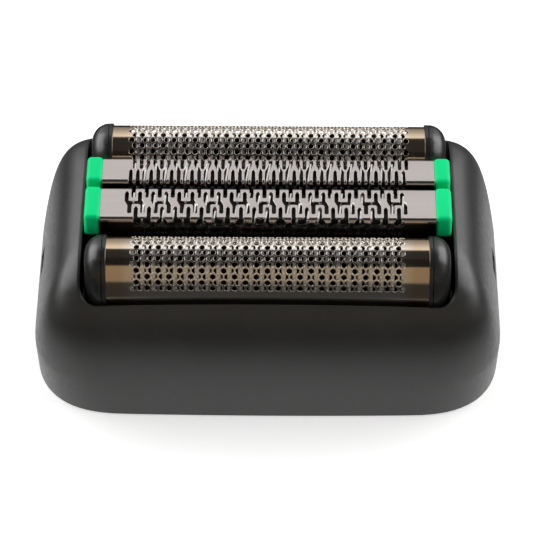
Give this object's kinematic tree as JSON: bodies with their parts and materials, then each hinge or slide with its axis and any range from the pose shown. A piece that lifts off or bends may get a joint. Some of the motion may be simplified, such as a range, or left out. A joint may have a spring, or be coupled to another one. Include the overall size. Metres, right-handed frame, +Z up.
{
  "type": "shaver foil head",
  "caption": "Replaceable electric shaver cassette: black housing with floating perforated foils at front and rear and slotted trimmers with green end caps between them.",
  "frame": {"origin": "centre of the bottom rim's plane, under the middle of the head", "axes": "+X along the foils, +Y from the front foil to the rear foil, +Z up towards the shaving side"},
  "size_m": [0.0598, 0.036, 0.0233],
  "materials": {
    "housing_black": "matte",
    "frame_black": "semi-gloss",
    "foil_metal": "polished",
    "comb_steel": "satin",
    "blade_steel": "ground",
    "spring_steel": "satin",
    "cap_green": "semi-gloss",
    "inner_grey": "matte"
  },
  "bodies": {
    "shell": {"housing": "housing_black", "base_frame": "inner_grey", "front_foil_spring_left": "spring_steel", "front_foil_spring_right": "spring_steel", "front_trimmer_spring_left": "spring_steel", "front_trimmer_spring_right": "spring_steel", "rear_trimmer_spring_left": "spring_steel", "rear_trimmer_spring_right": "spring_steel", "rear_foil_spring_left": "spring_steel", "rear_foil_spring_right": "spring_steel"},
    "front_foil_unit": {"front_foil": "foil_metal", "front_foil_frame": "frame_black"},
    "front_blade_block": {"front_blades": "blade_steel", "front_blade_carrier": "inner_grey"},
    "rear_foil_unit": {"rear_foil": "foil_metal", "rear_foil_frame": "frame_black"},
    "rear_blade_block": {"rear_blades": "blade_steel", "rear_blade_carrier": "inner_grey"},
    "front_trimmer_unit": {"front_trimmer_comb": "comb_steel", "front_trimmer_cap_left": "cap_green", "front_trimmer_cap_right": "cap_green"},
    "front_trimmer_drive": {"front_trimmer_cutter": "blade_steel", "front_trimmer_slider": "inner_grey"},
    "rear_trimmer_unit": {"rear_trimmer_comb": "comb_steel", "rear_trimmer_cap_left": "cap_green", "rear_trimmer_cap_right": "cap_green"},
    "rear_trimmer_drive": {"rear_trimmer_cutter": "blade_steel", "rear_trimmer_slider": "inner_grey"}
  },
  "joints": [
    {"name": "front_foil_float", "type": "slide", "parent": "shell", "child": "front_foil_unit", "axis": [0, 0, 1], "range_m": [-0.0018, 0], "stiffness_N_per_m": 400, "springref_m": 0.001, "deforming": ["front_foil_spring_left", "front_foil_spring_right"]},
    {"name": "rear_foil_float", "type": "slide", "parent": "shell", "child": "rear_foil_unit", "axis": [0, 0, 1], "range_m": [-0.0018, 0], "stiffness_N_per_m": 400, "springref_m": 0.001, "deforming": ["rear_foil_spring_left", "rear_foil_spring_right"]},
    {"name": "front_trimmer_float", "type": "slide", "parent": "shell", "child": "front_trimmer_unit", "axis": [0, 0, 1], "range_m": [-0.0018, 0], "stiffness_N_per_m": 400, "springref_m": 0.001, "deforming": ["front_trimmer_spring_left", "front_trimmer_spring_right"]},
    {"name": "rear_trimmer_float", "type": "slide", "parent": "shell", "child": "rear_trimmer_unit", "axis": [0, 0, 1], "range_m": [-0.0018, 0], "stiffness_N_per_m": 400, "springref_m": 0.001, "deforming": ["rear_trimmer_spring_left", "rear_trimmer_spring_right"]},
    {"name": "front_blade_swing", "type": "slide", "parent": "front_foil_unit", "child": "front_blade_block", "axis": [1, 0, 0], "range_m": [-0.001, 0.001]},
    {"name": "rear_blade_swing", "type": "slide", "parent": "rear_foil_unit", "child": "rear_blade_block", "axis": [1, 0, 0], "range_m": [-0.001, 0.001]},
    {"name": "front_trimmer_swing", "type": "slide", "parent": "front_trimmer_unit", "child": "front_trimmer_drive", "axis": [1, 0, 0], "range_m": [-0.001, 0.001]},
    {"name": "rear_trimmer_swing", "type": "slide", "parent": "rear_trimmer_unit", "child": "rear_trimmer_drive", "axis": [1, 0, 0], "range_m": [-0.001, 0.001]}
  ],
  "couplings": [
    {"joint": "front_trimmer_swing", "follows": "front_blade_swing", "ratio": 1},
    {"joint": "rear_trimmer_swing", "follows": "rear_blade_swing", "ratio": 1}
  ]
}
